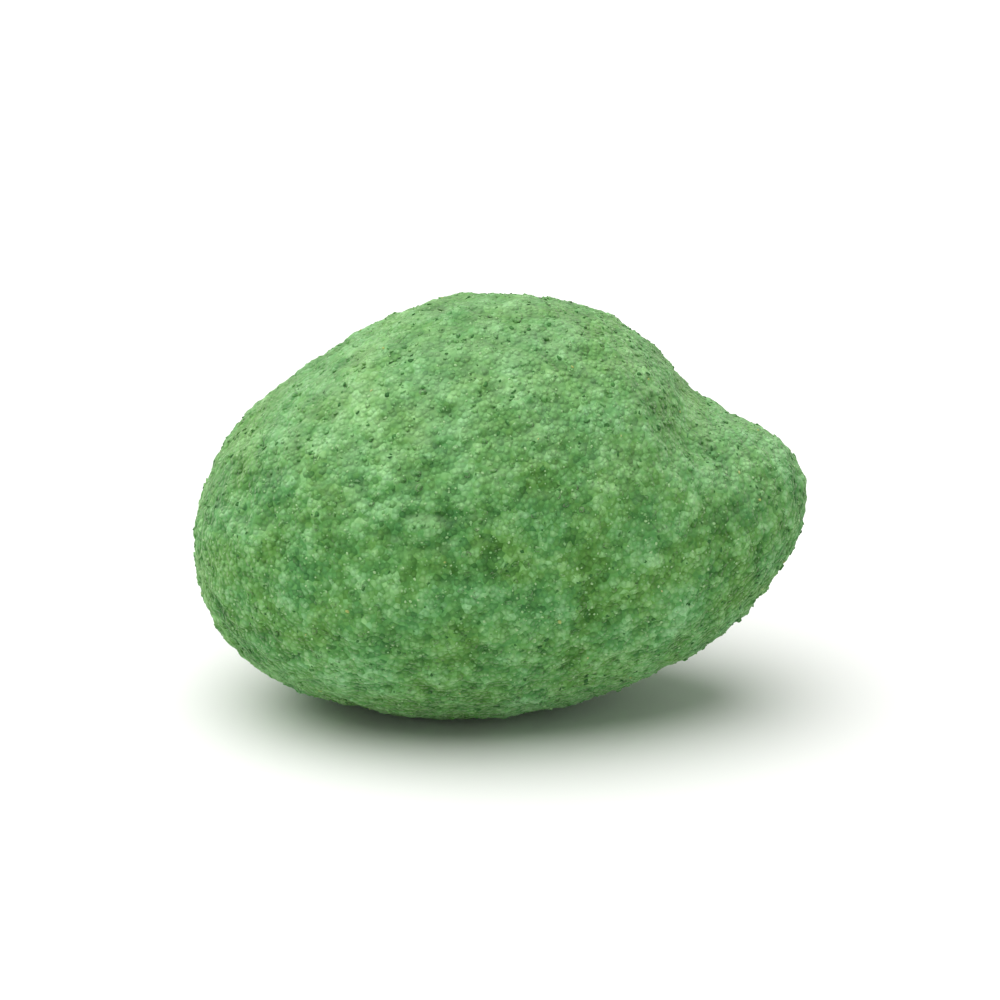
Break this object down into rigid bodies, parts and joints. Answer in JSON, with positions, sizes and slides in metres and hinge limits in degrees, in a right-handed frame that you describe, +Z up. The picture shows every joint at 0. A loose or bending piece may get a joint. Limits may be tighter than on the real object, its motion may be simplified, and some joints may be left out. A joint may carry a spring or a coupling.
{
  "type": "wasabi coated peanut",
  "caption": "Wasabi coated peanut: one whole nut in a lumpy, dry green crust, egg-shaped with a small nose at one end, lying on a small flat.",
  "frame": {"origin": "middle of the piece's footprint box, on the surface it rests on", "axes": "+X along the piece's length towards its nose, +Z up from its small flat, the shown side towards -Y"},
  "size_m": [0.0198, 0.0134, 0.0137],
  "materials": {
    "wasabi_crust": "dry, matt, powdered and finely speckled"
  },
  "bodies": {
    "root": {"coated_peanut": "wasabi_crust"}
  },
  "joints": []
}
